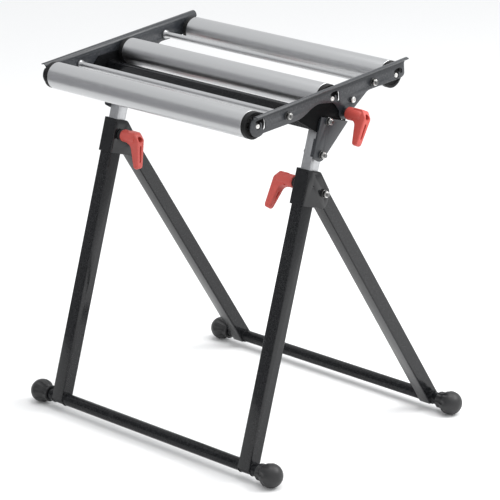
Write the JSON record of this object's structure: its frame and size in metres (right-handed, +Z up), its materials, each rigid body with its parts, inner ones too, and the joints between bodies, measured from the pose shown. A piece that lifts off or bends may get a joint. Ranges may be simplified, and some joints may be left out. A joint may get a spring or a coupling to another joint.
{
  "type": "folding roller work support stand",
  "caption": "Folding A-frame stand with a tilting roller table on telescopic posts, square legs, round crossbars, ball feet and clamp levers.",
  "frame": {"origin": "on the floor under the middle of the four ball feet", "axes": "+X along the rollers to the stand's right, +Y from the front legs towards the rear legs, +Z up"},
  "size_m": [0.706, 0.5615, 0.7531],
  "materials": {
    "black_paint": "satin black powder coat",
    "grey_paint": "dark grey powder coat",
    "black_plastic": "moulded matt black",
    "red_plastic": "moulded satin red",
    "galvanised_steel": "bright zinc plated tube",
    "bright_steel": "polished and zinc plated"
  },
  "bodies": {
    "front_frame": {"front_crossbar": "black_paint", "front_leg_left": "black_paint", "front_leg_right": "black_paint", "sleeve_bracket_left": "black_paint", "sleeve_bracket_right": "black_paint", "front_foot_left": "black_plastic", "front_foot_right": "black_plastic", "fold_bolt_left": "bright_steel", "fold_bolt_right": "bright_steel"},
    "rear_frame": {"rear_crossbar": "black_paint", "rear_leg_left": "black_paint", "rear_leg_right": "black_paint", "rear_foot_left": "black_plastic", "rear_foot_right": "black_plastic"},
    "posts": {"post_left": "galvanised_steel", "post_right": "galvanised_steel", "head_bracket_left": "grey_paint", "head_bracket_right": "grey_paint", "tilt_sector_left": "black_paint", "tilt_sector_right": "black_paint", "bracket_spacer_left": "bright_steel", "bracket_spacer_right": "bright_steel", "head_pivot_bolt_left": "bright_steel", "head_pivot_bolt_right": "bright_steel", "head_lower_bolt_left": "bright_steel", "head_lower_bolt_right": "bright_steel"},
    "table": {"cross_beam": "black_paint", "tie_rod_front": "bright_steel", "tie_rod_rear": "bright_steel", "axle_front": "bright_steel", "axle_middle": "bright_steel", "axle_rear": "bright_steel", "side_plate_left": "grey_paint", "side_plate_right": "grey_paint", "swivel_plate_left": "black_paint", "swivel_plate_right": "black_paint", "swivel_bolt_left": "bright_steel", "swivel_bolt_right": "bright_steel", "tie_nut_front_left": "bright_steel", "tie_nut_front_right": "bright_steel", "tie_nut_rear_left": "bright_steel", "tie_nut_rear_right": "bright_steel"},
    "roller_front": {"roller_tube_front": "bright_steel", "roller_cap_front_left": "black_plastic", "roller_cap_front_right": "black_plastic"},
    "roller_middle": {"roller_tube_middle": "bright_steel", "roller_cap_middle_left": "black_plastic", "roller_cap_middle_right": "black_plastic"},
    "roller_rear": {"roller_tube_rear": "bright_steel", "roller_cap_rear_left": "black_plastic", "roller_cap_rear_right": "black_plastic"},
    "height_clamp_left": {"height_left_lever": "red_plastic", "height_left_screw": "black_plastic"},
    "tilt_clamp_left": {"tilt_left_lever": "red_plastic", "tilt_left_screw": "black_plastic"},
    "height_clamp_right": {"height_right_lever": "red_plastic", "height_right_screw": "black_plastic"},
    "tilt_clamp_right": {"tilt_right_lever": "red_plastic", "tilt_right_screw": "black_plastic"}
  },
  "joints": [
    {"name": "rear_frame_fold", "type": "hinge", "parent": "front_frame", "child": "rear_frame", "pos_m": [0, -0.06211, 0.52771], "axis": [-1, 0, 0], "range_deg": [0, 48]},
    {"name": "height_slide", "type": "slide", "parent": "front_frame", "child": "posts", "axis": [0, 0.3007, 0.9537], "range_m": [-0.02, 0.35]},
    {"name": "table_tilt", "type": "hinge", "parent": "posts", "child": "table", "pos_m": [0, -0.05357, 0.66919], "axis": [1, 0, 0], "range_deg": [-12, 15]},
    {"name": "roller_front_spin", "type": "hinge", "parent": "table", "child": "roller_front", "pos_m": [0, -0.23682, 0.69624], "axis": [1, 0, 0], "continuous": true},
    {"name": "roller_middle_spin", "type": "hinge", "parent": "table", "child": "roller_middle", "pos_m": [0, -0.0382, 0.7086], "axis": [1, 0, 0], "continuous": true},
    {"name": "roller_rear_spin", "type": "hinge", "parent": "table", "child": "roller_rear", "pos_m": [0, 0.13896, 0.71962], "axis": [1, 0, 0], "continuous": true},
    {"name": "height_clamp_left_turn", "type": "hinge", "parent": "front_frame", "child": "height_clamp_left", "pos_m": [-0.24, -0.09161, 0.54854], "axis": [1, 0, 0], "range_deg": [0, 180]},
    {"name": "height_clamp_right_turn", "type": "hinge", "parent": "front_frame", "child": "height_clamp_right", "pos_m": [0.24, -0.09161, 0.54854], "axis": [-1, 0, 0], "range_deg": [0, 180]},
    {"name": "tilt_clamp_left_turn", "type": "hinge", "parent": "table", "child": "tilt_clamp_left", "pos_m": [-0.3, -0.00716, 0.67677], "axis": [-1, 0, 0], "range_deg": [0, 180]},
    {"name": "tilt_clamp_right_turn", "type": "hinge", "parent": "table", "child": "tilt_clamp_right", "pos_m": [0.3, -0.00716, 0.67677], "axis": [1, 0, 0], "range_deg": [0, 180]}
  ]
}
